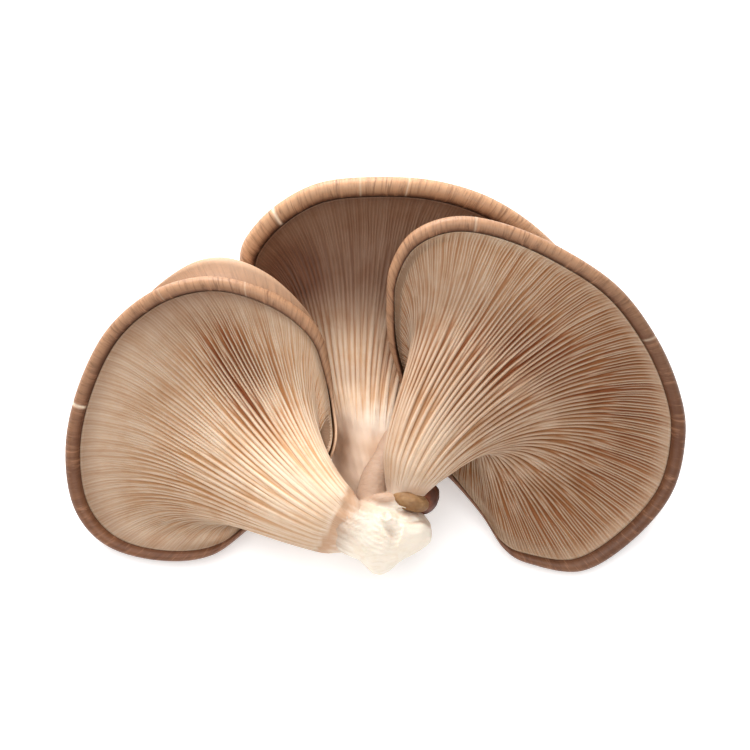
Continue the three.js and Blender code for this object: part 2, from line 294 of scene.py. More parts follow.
# %% Finish of the caps
def cap_finish():
    finish = Finish("cap_skin")
    streaks = finish.noise(finish.stretch(finish.uv, (1.0, 0.22, 1.0)), 1150.0, 4.0, 0.65, 0.6)
    light_streaks = finish.noise(finish.stretch(finish.uv, (1.0, 0.25, 1.0)), 800.0, 3.0, 0.6, 0.5)
    broad = finish.noise(finish.stretch(finish.uv, (1.0, 0.4, 1.0)), 150.0, 3.0, 0.6)
    cloud = finish.noise(finish.place, 45.0, 3.0, 0.5)
    colour = finish.layers(
        "683f29", (finish.fade(broad, 0.3, 0.7), "805438"),
        (finish.fade(cloud, 0.35, 0.7, 0.0, 0.5), "74503a"),
        # The paler rosy band is a painted highlight on rims that face the key light; the dark brown on the
        # roll's inner side is painted shade.
        (finish.attribute("sheen"), "cda07a"), (finish.attribute("shade"), "40210f"),
        (finish.fade(streaks, 0.42, 0.75, 0.0, 0.7), "553420"),
        (finish.fade(light_streaks, 0.52, 0.75, 0.0, 0.5), "bd8a68"),
        (finish.attribute("lip"), "6d4a31"), (finish.attribute("bloom"), "cdaa8c"),
        (finish.attribute("crack"), "e6cfb4"),
    )
    grain = finish.noise(finish.place, 1300.0, 4.0, 0.6)
    normal = finish.bump(grain, 0.15, 0.0004)
    normal = finish.bump(streaks, 0.3, 0.0005, normal)
    return finish.flesh(colour, 0.5, 0.12, 0.0012, normal)


CAP_FINISH = cap_finish()
print("finish:", CAP_FINISH.name)

# %% [markdown]
# ## The butt's flesh
# Torn mushroom flesh is almost white, in fine wet fibres, with a yellowish tint where it was torn
# and a pinkish brown skin here and there. Faces that turn up towards the key light are painted
# darker, a painted shade that keeps them from glaring.


# %% Finish of the butt
def butt_finish():
    finish = Finish("butt_flesh")
    fibres = finish.noise(finish.stretch(finish.place, (0.35, 1.0, 1.0)), 900.0, 4.0, 0.6, 0.4)
    lumps = finish.noise(finish.place, 260.0, 4.0, 0.55)
    colour = finish.layers(
        "ece0d0", (finish.fade(fibres, 0.4, 0.75), "e2d2bd"),
        (finish.fade(lumps, 0.5, 0.75, 0.0, 0.5), "e6d0b5"),
        # The darker beige on faces turned to the key light is painted shade.
        (finish.attribute("torn"), "e9dccb"), (finish.attribute("painted_dimming"), "c8ab95"),
        (finish.attribute("skin"), "a98c76"),
    )
    normal = finish.bump(lumps, 0.25, 0.0010)
    normal = finish.bump(fibres, 0.45, 0.0006, normal)
    return finish.flesh(colour, 0.6, 0.2, 0.002, normal)


BUTT_FINISH = butt_finish()
print("finish:", BUTT_FINISH.name)


# %% Finishes of the young mushroom
def young_cap_finish():
    finish = Finish("young_skin")
    streaks = finish.noise(finish.place, 700.0, 4.0, 0.6)
    cloud = finish.fade(finish.noise(finish.place, 220.0, 2.0, 0.5), 0.35, 0.7)
    streak = finish.fade(streaks, 0.45, 0.75, 0.0, 0.6)
    colour = finish.layers("4a210f", (cloud, "7c3e19"), (streak, "2a170d"))
    return finish.flesh(colour, 0.55, 0.05, 0.001, finish.bump(streaks, 0.25, 0.0005))


def young_stem_finish():
    finish = Finish("young_flesh")
    fibres = finish.noise(finish.stretch(finish.place, (0.25, 1.0, 1.0)), 1300.0, 4.0, 0.6)
    cloud = finish.fade(finish.noise(finish.place, 320.0, 3.0, 0.5), 0.35, 0.7)
    fibre = finish.fade(fibres, 0.45, 0.8, 0.0, 0.6)
    colour = finish.layers("85603c", (cloud, "9d7850"), (fibre, "6b4a2d"))
    return finish.flesh(colour, 0.6, 0.15, 0.0015, finish.bump(fibres, 0.4, 0.0006))


YOUNG_CAP_FINISH = young_cap_finish()
YOUNG_STEM_FINISH = young_stem_finish()
print("finishes:", YOUNG_CAP_FINISH.name, YOUNG_STEM_FINISH.name)

# %% [markdown]
# ## The three fruit bodies
# A rim is a closed curve through a few points. Each body also has a foot, where its stem leaves the
# butt, a neck that bends the stem, and a hub, which is the middle that the gills spread from. These
# are the values of the CAD source, apart from a wider back stem and a slightly thinner roll beside
# the left stem.

# %% Places and sizes of the left body
LEFT = dict(
    name="left", foot=(-2, -40.5, 7), neck=(-16.5, -37, 1), hub=(-27, -24, -7),
    far=(-0.75, 0.55, 0.1), down=(0.1, 0.27, -0.96), crown=(-19, 4, -2),
    foot_radius=7.2, hub_radius=8, flare=(3, 4.5), bend=(0.5, 1.8, 0.8), hollow=5, dome=18,
    hump=(8.8, 0.192, 0.095), rim_radius=2, thin=(0.8, 0.955, 0.085),
    rim=[
        (-10.5, -8, -4), (-13.5, 9.5, -3), (-21.5, 18.5, 0), (-33.5, 24, 2), (-45.5, 25.5, 1),
        (-59, 21.5, -3), (-71, 11.5, -8), (-79, -4, -12), (-82.5, -20, -16), (-80.5, -35.5, -19),
        (-72, -45.5, -20), (-57.5, -49.5, -19), (-43.5, -48, -18), (-31.5, -39.5, -19),
        (-18, -31, -13), (-10.5, -19.5, 0),
    ],
)

# %% Places and sizes of the right body
RIGHT = dict(
    name="right", foot=(7.5, -33, 2), neck=(8, -20, 5), hub=(21, -6.5, -6),
    far=(0.75, 0.5, 0.1), down=(-0.06, 0.24, -0.97), crown=(24, -6, -3),
    foot_radius=6.2, hub_radius=8, flare=(3.2, 8), bend=(14, 2.4, 1), hollow=5, dome=17, hump=(0, 0, 1),
    rim_radius=2, thin=(0.6, 0.83, 0.14),
    rim=[
        (3, 19.5, -5), (4, 28.5, -2), (9.5, 37, 1), (20, 41, 3), (32.5, 39.5, 3), (47.5, 33.5, 1),
        (63.3, 23.4, -3), (74, 10, -7), (80.5, -4, -11), (82.5, -16.5, -14), (79.2, -31.5, -17),
        (68.8, -44.2, -19), (55.5, -52.3, -19), (41.5, -50.5, -19), (34.5, -46.5, -19),
        (28.5, -37.5, -19), (20.3, -28, -17), (11, -20, -14), (6.5, -1.5, -11), (3.5, 9, -8),
    ],
)

# %% Places and sizes of the back body
BACK = dict(
    name="back", foot=(2, -36, -8), neck=(-6, -20, -22.5), hub=(-2.5, 1.5, -35),
    far=(0, 0.9, 0.2), down=(0, 0.3, -0.95), crown=(4, 14, 2),
    foot_radius=7.2, hub_radius=8.2, flare=(3.6, 5), bend=(0, 0, 1), hollow=4, dome=12, hump=(0, 0, 1),
    rim_radius=2.8, thin=(0, 0, 1),
    rim=[
        (-36.5, 30.5, -22), (-34.3, 37.3, -19), (-26.2, 45.3, -15), (-14.5, 51, -12), (1, 52.4, -11),
        (17, 51.3, -12), (32, 46.5, -14), (45.6, 37.5, -19), (54, 27, -25), (53, 12.5, -31),
        (39.5, -1.5, -35), (20.5, -9.5, -37), (3, -14, -38), (-12.5, -7.5, -37), (-27.5, 7, -32),
        (-35.5, 20.5, -27),
    ],
)

# %% Shared sizes of the roll, the seam and the flesh
SEAM = 0.3
RIM_SHARE = 0.09
SHORT_REACH = 30
SHORT_CLEARANCE = 0.07
CAP_SHARE = 0.6
EDGE_FLESH = 1.3
OPEN_REACH = 45
STEM_BACK = 0.75
print("three bodies, rims of", [len(body["rim"]) for body in (LEFT, RIGHT, BACK)], "points")

# %% [markdown]
# ## One rim, any number of columns
# A smooth closed curve through the rim's points, measured along its length, gives the rim at any
# share of the way round. From it come the spoke to the hub, its length, and which way it points.


# %% The rim and what hangs on it
def unit(vectors):
    vectors = np.asarray(vectors, float)
    return vectors / np.linalg.norm(vectors, axis=-1, keepdims=True)


def between(p0, p1, p2, p3, f):
    """A smooth curve from p1 to p2 that heads the way its neighbours do."""
    return p1 + 0.5 * f * (p2 - p0 + f * (2 * p0 - 5 * p1 + 4 * p2 - p3 + f * (3 * (p1 - p2) + p3 - p0)))


def closed_spline(points, samples=4000):
    points = np.asarray(points, float)
    count = len(points)
    t = np.arange(samples) / samples * count
    i = np.floor(t).astype(int)
    f = (t - i)[:, None]
    return between(*(points[(i + k) % count] for k in (-1, 0, 1, 2)), f)


def smoothstep(value, low, high):
    t = np.clip((value - low) / (high - low), 0, 1)
    return t * t * (3 - 2 * t)


def near(share, place, spread, steepness):
    """1 at a place on the way round the rim, fading to 0 at either side of it."""
    away = (share - place + 1.5) % 1.0 - 0.5
    return np.exp(-np.abs(away / spread) ** steepness)


class Body:
    """A fruit body: its places in world directions and its rim, measured along its length."""

    def __init__(self, values):
        self.__dict__.update(values)
        for key in ("foot", "neck", "hub", "far", "down", "crown"):
            setattr(self, key, plan(values[key]))
        self.down = unit(self.down)
        self.far = unit(self.far - self.down * (self.far @ self.down))
        self.across = np.cross(self.down, self.far)
        loop = closed_spline(plan(values["rim"]))
        loop = np.vstack([loop, loop[:1]])
        lengths = np.concatenate([[0], np.cumsum(np.linalg.norm(np.diff(loop, axis=0), axis=1))])
        self.length = lengths[-1]
        self.shares = lengths / lengths[-1]
        self.loop = loop

    def columns(self, share):
        """Everything that depends only on the place round the rim."""
        share = np.asarray(share) % 1.0
        rim = np.stack([np.interp(share, self.shares, self.loop[:, k]) for k in range(3)], axis=-1)
        spoke = rim - self.hub
        reach = np.linalg.norm(spoke, axis=-1)
        turn = np.arctan2(spoke @ self.across, spoke @ self.far)
        thin, place, spread = self.thin
        roll = np.minimum(self.rim_radius, RIM_SHARE * reach)
        roll = roll * (1 - thin * near(share, place, spread, 4))
        size, place, spread = self.hump
        extra, middle, width = self.bend
        away = np.arctan2(np.sin(turn - middle), np.cos(turn - middle))
        flare = self.flare[0] + (self.flare[1] - self.flare[0]) * (1 - np.cos(turn)) / 2
        closing = SHORT_CLEARANCE * np.maximum(0, SHORT_REACH - reach)
        return dict(
            share=share, spoke=spoke, reach=reach, turn=turn, roll=roll,
            flare=flare + extra * np.exp(-(away / width) ** 2),
            hump=size * near(share, place, spread, 2),
            seam_edge=1 - 2 * roll / reach,
            gill_edge=1 - (2 * roll + SEAM + closing) / reach,
        )


BODIES = {values["name"]: Body(values) for values in (LEFT, RIGHT, BACK)}
print("rim lengths in mm:", {name: round(body.length) for name, body in BODIES.items()})


# %% Heights over the plane of the rim
def dome_height(body, w):
    return body.dome * np.maximum(0, 1 - w ** 3) ** 0.62


def hollow_depth(body, column, s):
    open_share = np.minimum(1, column["reach"] / OPEN_REACH)
    return body.hollow * open_share * 4 * np.maximum(0, 1 - s) ** 0.7 * s ** 1.5


def level(body, column, w, lift, sideways=0.0):
    """A point level with the rim at share w, moved by a lift towards the cap's top."""
    along = w + sideways / column["reach"]
    return body.hub + column["spoke"] * along[..., None] + body.down * np.asarray(lift)[..., None]


def cap_top(body, column, w):
    hump = column["hump"] * np.exp(-((w - 0.88) / 0.1) ** 2) * np.clip((0.97 - w) / 0.03, 0, 1)
    return level(body, column, w, dome_height(body, w), hump) + body.crown * (1 - w)[..., None]


def flesh_face(body, column, s, gap):
    """The face where the cap's flesh meets the gill body."""
    w = s * column["seam_edge"]
    hollow = hollow_depth(body, column, s)
    middle = CAP_SHARE * (dome_height(body, w) - hollow)
    lift = hollow + middle + (EDGE_FLESH - middle) * s ** 6 - gap
    return level(body, column, w, lift) + body.crown * ((1 - s) * CAP_SHARE)[..., None]


def stem_axis(body, along):
    """A point of the stem's bent axis, and the way it heads there."""
    a = along[..., None]
    point = (1 - a) ** 2 * body.foot + 2 * a * (1 - a) * body.neck + a ** 2 * body.hub
    heading = unit(2 * (1 - a) * (body.neck - body.foot) + 2 * a * (body.hub - body.neck))
    return point, heading


def gill_crest(body, column, w):
    """The line of a gill's edge: level near the rim, then gathered round the stem."""
    along = 1 - np.maximum(0, 1 - w) ** column["flare"]
    point, heading = stem_axis(body, along)
    front = unit(VIEW - heading * (heading @ VIEW)[..., None])
    side = np.cross(heading, front)
    s = w / column["gill_edge"]
    radius = (body.foot_radius + (body.hub_radius - body.foot_radius) * along) * (1 - s)
    radius = radius * (0.64 + 0.36 * np.clip(s / 0.08, 0, 1))
    cosine = np.cos(column["turn"])
    cosine = np.where(cosine < 0, cosine * STEM_BACK, cosine)
    return (
        point + column["spoke"] * w[..., None]
        + front * (radius * cosine)[..., None]
        + side * (radius * np.sin(column["turn"]))[..., None]
        + body.down * hollow_depth(body, column, s)[..., None]
    )


print("surfaces ready")

# %% [markdown]
# ## Closed shells
# A cap, a gill body and the butt are all closed shells: rings of points from one pole to the other.
# One helper makes such a mesh, with its faces outwards, its UV map and any numbers on its points.


# %% A mesh from rings of points
def shell(name, rings, material, poles=None, numbers=None, vectors=None, along=None, inward=None):
    """rings is rows by columns by 3, in millimetres. along and inward are UVs, rows by columns."""
    rows, count = rings.shape[:2]
    start, end = poles or (rings[0].mean(axis=0), rings[-1].mean(axis=0))
    points = metres(np.vstack([start[None], rings.reshape(-1, 3), end[None]]))
    r, c = np.meshgrid(np.arange(rows - 1), np.arange(count), indexing="ij")
    after = (c + 1) % count
    quads = np.stack([1 + r * count + c, 1 + r * count + after, 1 + (r + 1) * count + after,
                      1 + (r + 1) * count + c], axis=-1).reshape(-1, 4)
    c = np.arange(count)
    after = (c + 1) % count
    last = len(points) - 1
    first_row = np.stack([np.zeros_like(c), 1 + after, 1 + c], axis=-1)
    last_row = np.stack([np.full_like(c, last), 1 + (rows - 1) * count + c,
                         1 + (rows - 1) * count + after], axis=-1)
    triangles = np.vstack([quads[:, [0, 1, 2]], quads[:, [0, 2, 3]], first_row, last_row])
    a, b, d = (points[triangles[:, k]] - points.mean(axis=0) for k in range(3))
    if np.einsum("ij,ij->i", a, np.cross(b, d)).sum() < 0:
        quads, first_row, last_row = quads[:, ::-1], first_row[:, ::-1], last_row[:, ::-1]
    mesh = bpy.data.meshes.new(name)
    corners = np.concatenate([quads.ravel(), first_row.ravel(), last_row.ravel()])
    sizes = np.concatenate([np.full(len(quads), 4), np.full(2 * count, 3)])
    mesh.vertices.add(len(points))
    mesh.vertices.foreach_set("co", points.ravel())
    mesh.loops.add(len(corners))
    mesh.loops.foreach_set("vertex_index", corners)
    mesh.polygons.add(len(sizes))
    mesh.polygons.foreach_set("loop_start", np.concatenate([[0], np.cumsum(sizes)[:-1]]))
    mesh.update(calc_edges=True)
    if along is not None:
        add_uv(mesh, corners, sizes, rows, count, along, inward)
    for kind, field, given in (("FLOAT", "value", numbers), ("FLOAT_VECTOR", "vector", vectors)):
        for key, values in (given or {}).items():
            flat = values.reshape(rows * count, -1)
            flat = np.vstack([flat[:count].mean(axis=0), flat, flat[-count:].mean(axis=0)])
            mesh.attributes.new(key, kind, "POINT").data.foreach_set(field, flat.ravel())
    mesh.polygons.foreach_set("use_smooth", np.ones(len(sizes), bool))
    mesh.materials.append(material)
    mesh.validate()
    return linked(name, mesh)


def add_uv(mesh, corners, sizes, rows, count, along, inward):
    """Writes the UV map: u along the rim, v in from the rim. u runs on over the seam."""
    u = np.concatenate([[along[0, 0]], along.ravel(), [along[-1, 0]]])
    v = np.concatenate([[inward[0].mean()], inward.ravel(), [inward[-1].mean()]])
    loop_u, loop_v = u[corners], v[corners]
    span = along[0, -1] - along[0, 0]
    starts = np.concatenate([[0], np.cumsum(sizes)[:-1]])
    highest = np.repeat(np.maximum.reduceat(loop_u, starts), sizes)
    loop_u = np.where(highest - loop_u > span / 2, loop_u + span * count / (count - 1), loop_u)
    layer = mesh.uv_layers.new(name="UVMap")
    layer.data.foreach_set("uv", np.stack([loop_u, loop_v], axis=-1).ravel())


print("shell helper ready")

# %% [markdown]
# ## The caps
# A real cap is one skin that runs over the dome and rolls in over the rim, where it ends against
# the gills. We draw it as rings: the dome, the roll as a smooth curve, and the hidden face against
# the gill body. Soft undulations and shallow radial folds keep the skin from looking turned on a
# lathe. Where the cluster's weight rests on a dome, the skin is pressed flat on the table.

# %% Values of the caps
CAP_COLUMNS = 900
ROLL = [
    (2.2, 2.75), (1.6, 2.25), (0.9, 1.6), (0.3, 0.75), (0, 0), (0.3, -0.75), (1, -1), (1.7, -0.7),
    (2, 0.1),
]
ROLL_ROWS = 22
# Where along the roll the painted highlight lies, and the rows where the painted shade on its inner side
# begins.
HIGHLIGHT_ROW, HIGHLIGHT_WIDTH = 12.6, 4.8
SHADE_ROWS = (16.4, 20)
FACE_ROWS = (1, 0.92, 0.8, 0.58, 0.29, 0.04)
# How strong the painted highlight is on each body.
HIGHLIGHT_STRENGTH = dict(left=0.5, right=0.5, back=0.78)
TABLE = -SHIFT[2]
CAP_MARKS = ("lip", "bloom", "crack", "sheen", "shade")


def open_spline(points, samples):
    points = np.asarray(points, float)
    padded = np.vstack([2 * points[0] - points[1], points, 2 * points[-1] - points[-2]])
    t = np.linspace(0, len(points) - 1, samples)
    i = np.minimum(np.floor(t).astype(int), len(points) - 2)
    f = (t - i)[:, None]
    return between(*(padded[i + k] for k in range(4)), f)


def waves(share, seed, lowest, highest, count=9):
    """A smooth closed wave round the rim, between -1 and 1, the same on each run."""
    random = np.random.default_rng(seed)
    total = np.zeros_like(share)
    for _ in range(count):
        cycles = random.integers(lowest, highest + 1)
        total += random.uniform(0.4, 1) * np.sin(2 * np.pi * (cycles * share + random.random()))
    return total / count


# %% Cracks in the skin, where the roll has torn: place in the plan, width in millimetres, strength
CRACKS = dict(
    left=[((-76, -8.5), 0.4, 1.0), ((-33, 26), 0.2, 0.3), ((-57, 24), 0.2, 0.2)],
    right=[((26, 41), 0.3, 0.35), ((74, 10.5), 0.3, 0.4)],
    back=[((-27.5, 45), 0.45, 1.0), ((-4, 51), 0.25, 0.35), ((9, 51), 0.25, 0.5)],
)


def crack_marks(body, share):
    """How far each column lies in a torn crack of the roll, from 0 to 1."""
    rim = unplan(body.columns(share)["spoke"] + body.hub)
    marks = np.zeros(len(share))
    for (p, q), width, strength in CRACKS[body.name]:
        middle = share[np.argmin(np.hypot(rim[:, 0] - p, rim[:, 1] - q))]
        away = ((share - middle + 0.5) % 1.0 - 0.5) * body.length
        marks = np.maximum(marks, strength * np.exp(-(away / width) ** 2))
    return marks


# %% Make the caps
def make_cap(body, seed):
    share = np.arange(CAP_COLUMNS) / CAP_COLUMNS
    column = body.columns(share)
    reach, roll = column["reach"], column["roll"]
    # How far a rim points up the plan, towards the key light; it sets the painted highlight and painted
    # shade.
    upper = smoothstep(unit(unplan(column["spoke"]))[:, 1], -0.1, 0.75)
    rim = unplan(body.hub + column["spoke"])
    fading = smoothstep(-rim[:, 1], 0, 14) * smoothstep(rim[:, 0], -24, -15) * (body.name == "left")
    # Painted shade: the roll on the right body's far side is painted darker.
    right_side_shade = 0.35 * smoothstep(rim[:, 0], 50, 72)
    folds, broad = waves(share, seed, 9, 40), waves(share, seed + 1, 3, 8)
    swell = 1 + 0.06 * waves(share, seed + 2, 20, 70, 14) + 0.05 * waves(share, seed + 3, 4, 12)
    cracks = crack_marks(body, share)
    rows, inward, marks = [], [], {name: [] for name in CAP_MARKS}

    def add_row(points, distance, **given):
        rows.append(points)
        inward.append(distance + 0 * share)
        for name in CAP_MARKS:
            marks[name].append(given.get(name, 0) + 0 * share)

    dome = np.concatenate([np.linspace(0.02, 0.8, 26), np.linspace(0.83, 0.945, 8)])
    for w, row_share in zip(dome, np.linspace(0, 1, len(dome))):
        fade = np.clip((w - 0.1) / 0.3, 0, 1) * np.clip((0.97 - w) / 0.05, 0, 1)
        lift = (0.5 * folds * w ** 2 + 0.9 * broad * w) * fade
        # Paler skin near the rim is a pale bloom; on the left dome's hump it is also a painted highlight
        # where the key light falls.
        bloom_and_hump_highlight = (0.06 + 0.8 * column["hump"] / 9) * min(1, (1 - w) * 12)
        # Painted highlight on the dome's edge, on rims that face the key light.
        add_row(
            cap_top(body, column, w + 0 * share) + body.down * lift[:, None], reach * (1 - w) + 4,
            bloom=np.maximum(bloom_and_hump_highlight, 0.8 * fading), sheen=0.3 * upper * row_share ** 6,
        )
    for k, (deep, lift) in enumerate(open_spline(ROLL, ROLL_ROWS)):
        cut = cracks * np.clip((k - 3) / 5, 0, 1) * np.clip((21 - k) / 3, 0, 1)
        # Painted highlight along the roll's crest, where the key light falls.
        crest = (0.03 + HIGHLIGHT_STRENGTH[body.name] * upper) * math.exp(-abs((k - HIGHLIGHT_ROW) / HIGHLIGHT_WIDTH) ** 3)
        # Painted shade on the roll's inner side, strongest on rims that face the key light.
        inner = float(smoothstep(k, *SHADE_ROWS))
        bulge = swell if lift < 0.5 else 1
        add_row(
            level(body, column, 1 - deep * roll / reach, lift * roll * bulge + 0.45 * cut),
            4 - 8 * k / ROLL_ROWS, bloom=0.8 * fading, crack=cut,
            sheen=np.maximum(crest, 0.3 * upper * max(0, 1 - k / 8)),
            shade=np.maximum(right_side_shade, (0.3 + 0.62 * upper) * (1 - fading) * inner),
        )
    for s in FACE_ROWS:
        add_row(flesh_face(body, column, s + 0 * share, 0), -4 - (1 - s) * reach, lip=1)
    rings = np.array(rows)
    rings[..., 2] = np.maximum(rings[..., 2], TABLE)
    return shell(
        f"{body.name}_cap_skin", rings, CAP_FINISH,
        numbers={name: np.array(values) for name, values in marks.items()},
        along=np.broadcast_to(share * body.length / 1000, rings.shape[:2]), inward=np.array(inward) / 1000,
    )


cap_pieces = {name: make_cap(body, 11 + i) for i, (name, body) in enumerate(BODIES.items())}
print("caps:", {name: len(piece.data.polygons) for name, piece in cap_pieces.items()}, "faces")

# %% [markdown]
# ## The gills
# Gills stand in a regular order. Between two long ones that reach the stem there is one of half
# length, between these there are shorter ones, and close to the rim there are eight gills to every
# long one. Each blade fades out towards the stem. We lay the columns of the mesh along the gills,
# four to a blade at the rim, and give every point two numbers: how far down the side of a blade it
# lies, and how deep the grooves are there. A Geometry Nodes tree then cuts the grooves.

# %% How the gills follow each other
GILLS_IN_GROUP = 8
COLUMNS_PER_GILL = 4
RANKS = np.array([0, 3, 2, 3, 1, 3, 2, 3])
ENDS = np.array([-1.0, 0.18, 0.42, 0.70])
FADES = np.array([0.1, 0.16, 0.16, 0.14])
BLADES_BESIDE = 9


def lay_gills(body, groups, rows, seed):
    """Rim share, way out from the stem, groove share and gill number at every point."""
    random = np.random.default_rng(seed)
    gills = groups * GILLS_IN_GROUP
    rank = np.tile(RANKS, groups)
    ends = ENDS[rank] + random.uniform(-0.09, 0.09, gills)
    heights = random.uniform(0.72, 1.0, gills)
    step = 1 / gills
    centres = (np.arange(gills) + 0.5 + random.uniform(-0.27, 0.27, gills)) * step
    edges = np.concatenate([[-0.5 * (1 - centres[-1] - centres[0])], (centres[1:] + centres[:-1]) / 2])
    edges = np.append(edges, edges[0] + 1)
    before, after = edges[:-1], edges[1:]
    share = np.stack([before, (before + centres) / 2, centres, (centres + after) / 2], axis=-1).ravel()
    s = (1 - np.arange(rows) / (rows - 1)) ** 1.12
    presence = smoothstep(s[:, None], ends - FADES[rank] / 2, ends + FADES[rank] / 2) * heights
    crowd = np.zeros(len(s))
    for r in (1, 2, 3):
        crowd += smoothstep(s, ENDS[r] - 0.12, ENDS[r] + 0.12)
    half_width = step * 0.5 * 2 ** (3 - crowd)
    sharp = 1.25 + 1.3 * smoothstep(-s, -0.75, -0.2)
    height = np.zeros((len(s), len(share)))
    for j in range(-BLADES_BESIDE, BLADES_BESIDE + 1):
        gill = (np.arange(len(share)) // COLUMNS_PER_GILL + j) % gills
        distance = np.abs((share - centres[gill] + 0.5) % 1.0 - 0.5)
        t = np.clip(distance[None] / half_width[:, None], 0, 1)
        height = np.maximum(height, presence[:, gill] * (1 - t ** sharp[:, None]))
    owner = np.arange(len(share)) // COLUMNS_PER_GILL
    return share, s, 1 - height, random.random(gills)[owner]


print("a group of gills has the ranks", RANKS.tolist())

# %% [markdown]
# The gills wander a little from side to side, and neighbours wander together, because they press on
# each other as they grow. Their grooves are deepest half way out on each cap, and shallow at the
# rim and down the stem. Soft patches say where the flesh is paler, greyer or stained, and where
# painted shade darkens it: under the rolled rims, under the left cap's dome and beside the back stem.


# %% Patches on the gill side
def patch(points, centre, radii, turn=0.0):
    """1 in the middle of an oval of the plan and 0 far outside it. Sizes in millimetres."""
    p, q = points[..., 0] - centre[0], points[..., 1] - centre[1]
    a = math.radians(turn)
    u = (p * math.cos(a) + q * math.sin(a)) / radii[0]
    v = (-p * math.sin(a) + q * math.cos(a)) / radii[1]
    return np.exp(-(u * u + v * v))


def patches(points, *ovals):
    """Patches added up. Each oval starts with its weight."""
    return sum(weight * patch(points, *oval) for weight, *oval in ovals)


def beyond(points, place, heading, soft, jitter):
    """0 on the stem's bare side of a line across the stem, 1 on the side of the gills."""
    a = math.radians(heading)
    along = (points[..., 0] - place[0]) * math.cos(a) + (points[..., 1] - place[1]) * math.sin(a)
    return smoothstep(along + jitter, -soft, soft)


def lumps(points):
    """Low soft lumps on bare stem flesh, in millimetres."""
    p, q = points[..., 0], points[..., 1]
    wide = np.sin(0.9 * p + 0.5 * q) * np.sin(0.7 * q - 0.4 * p + 1)
    return 0.45 * wide + 0.12 * np.sin(2.3 * p - 1.1 * q) * np.sin(1.9 * q + 0.8 * p)


def bare_skin(points):
    """A brownish patch on the left stem where its gills end, fading towards the butt."""
    a = math.radians(153)
    p, q = points[..., 0] + 10.5, points[..., 1] + 36
    past = -p * math.cos(a) - q * math.sin(a)
    along = p * math.sin(a) - q * math.cos(a)
    streaks = np.sin(3.4 * along + np.sin(1.7 * along)) + 0.5 * np.sin(7.9 * along)
    faded = 1 - smoothstep(past + 0.8 * streaks, 1.5, 9.0)
    return 0.95 * smoothstep(past, -1.0, 0.3) * faded


def looks_left(points, s, jitter):
    stain = patches(points, (1, (-37, 4), (8, 15), 25), (0.5, (-30, -6), (7, 12), 30))
    pale = 0.27 + patches(
        points, (0.73, (-20, -24), (18, 18)), (0.2, (-45, -18), (20, 14)), (0.3, (-38, 3), (10, 14)),
        (0.3, (-20, 2), (9, 16)), (-0.35, (-48, 18), (24, 9), 10),
    )
    # Painted shade: the gills darken towards the rim, under the rolled rim.
    grey_and_shade = 0.1 * patch(points, (-48, 20), (24, 8), 8) + 0.3 * smoothstep(s, 0.88, 1)
    deep = 0.4 + 0.85 * stain + patches(points, (0.25, (-50, -25), (16, 16)), (-0.25, (-70, -12), (12, 20)))
    bare = 1 - beyond(points, (-10.5, -36), 153, 1.0, 0.6 * jitter)
    return pale, stain, grey_and_shade, deep, bare, bare_skin(points)


def looks_right(points, s, jitter):
    stain = 0.25 + patches(
        points, (1, (38, 4), (17, 9), -10), (0.5, (66, -10), (12, 16)), (0.3, (50, -34), (18, 10)),
        (-0.1, (11, -22), (9, 12)),
    )
    pale = 0.14 + patches(
        points, (0.36, (11, -22), (12, 14)), (0.06, (20, 10), (14, 16)), (0.2, (33, 32), (22, 8), -15),
    )
    grey_and_shade = 0.1 * patch(points, (66, -4), (10, 24))
    deep = 0.6 + 0.55 * stain - 0.45 * patch(points, (15, 22), (18, 18))
    bare = 1 - beyond(points, (9, -28), 90, 1.6, jitter)
    skin = 0.35 + 0.5 * patch(points, (11, -30), (6, 2.4))
    return pale, stain, grey_and_shade, deep, bare, skin


def looks_back(points, s, jitter):
    q = points[..., 1]
    golden = patches(points, (1, (4.5, 5), (5, 7)), (1, (10, -5), (3.5, 6)), (0.6, (-6, 0), (6, 3.5)))
    stain = 0.15 + 0.45 * patch(points, (-8.5, -19), (3, 8)) + 0.3 * smoothstep(q, 5, 25) + 0.65 * golden
    pale = 0.1 + 0.8 * smoothstep(-q, -18, 2) - 0.6 * golden
    # Painted shade on the back cap's gills under its far rim.
    grey_and_shade = 0.74 * smoothstep(q, 8, 27)
    # Painted shadow of the left cap's dome, and painted shade in the gap beside the back stem.
    grey_and_shade = grey_and_shade + patches(points, (0.5, (-22, 26), (8, 9)), (0.9, (9.5, -8), (2.4, 6)))
    deep = 0.42 - 0.14 * smoothstep(q, 0, 30)
    bare = 1 - beyond(points, (-3, -9), 90, 5.0, 2 * jitter)
    skin = 0.6 + patches(points, (-0.55, (1, -10), (5, 4.5)), (0.3, (2, -19), (4, 3)))
    return pale, stain, grey_and_shade, deep, bare, skin


LOOKS = dict(left=looks_left, right=looks_right, back=looks_back)
print("patches for", sorted(LOOKS))


# %% [markdown]
# ## A tree that cuts the grooves
# The tree works on any surface whose points carry the numbers groove and depth, and the vectors
# inward and sideways. It pushes each point in by the groove, lets the blades wander a little, and
# nicks their edges here and there, as old gills are. Its sizes are named inputs in metres.

# %% Sizes of the grooves, in metres
GROOVE_SIZES = {"Groove depth": 0.0013, "Wander": 0.00035, "Nick depth": 0.0007}


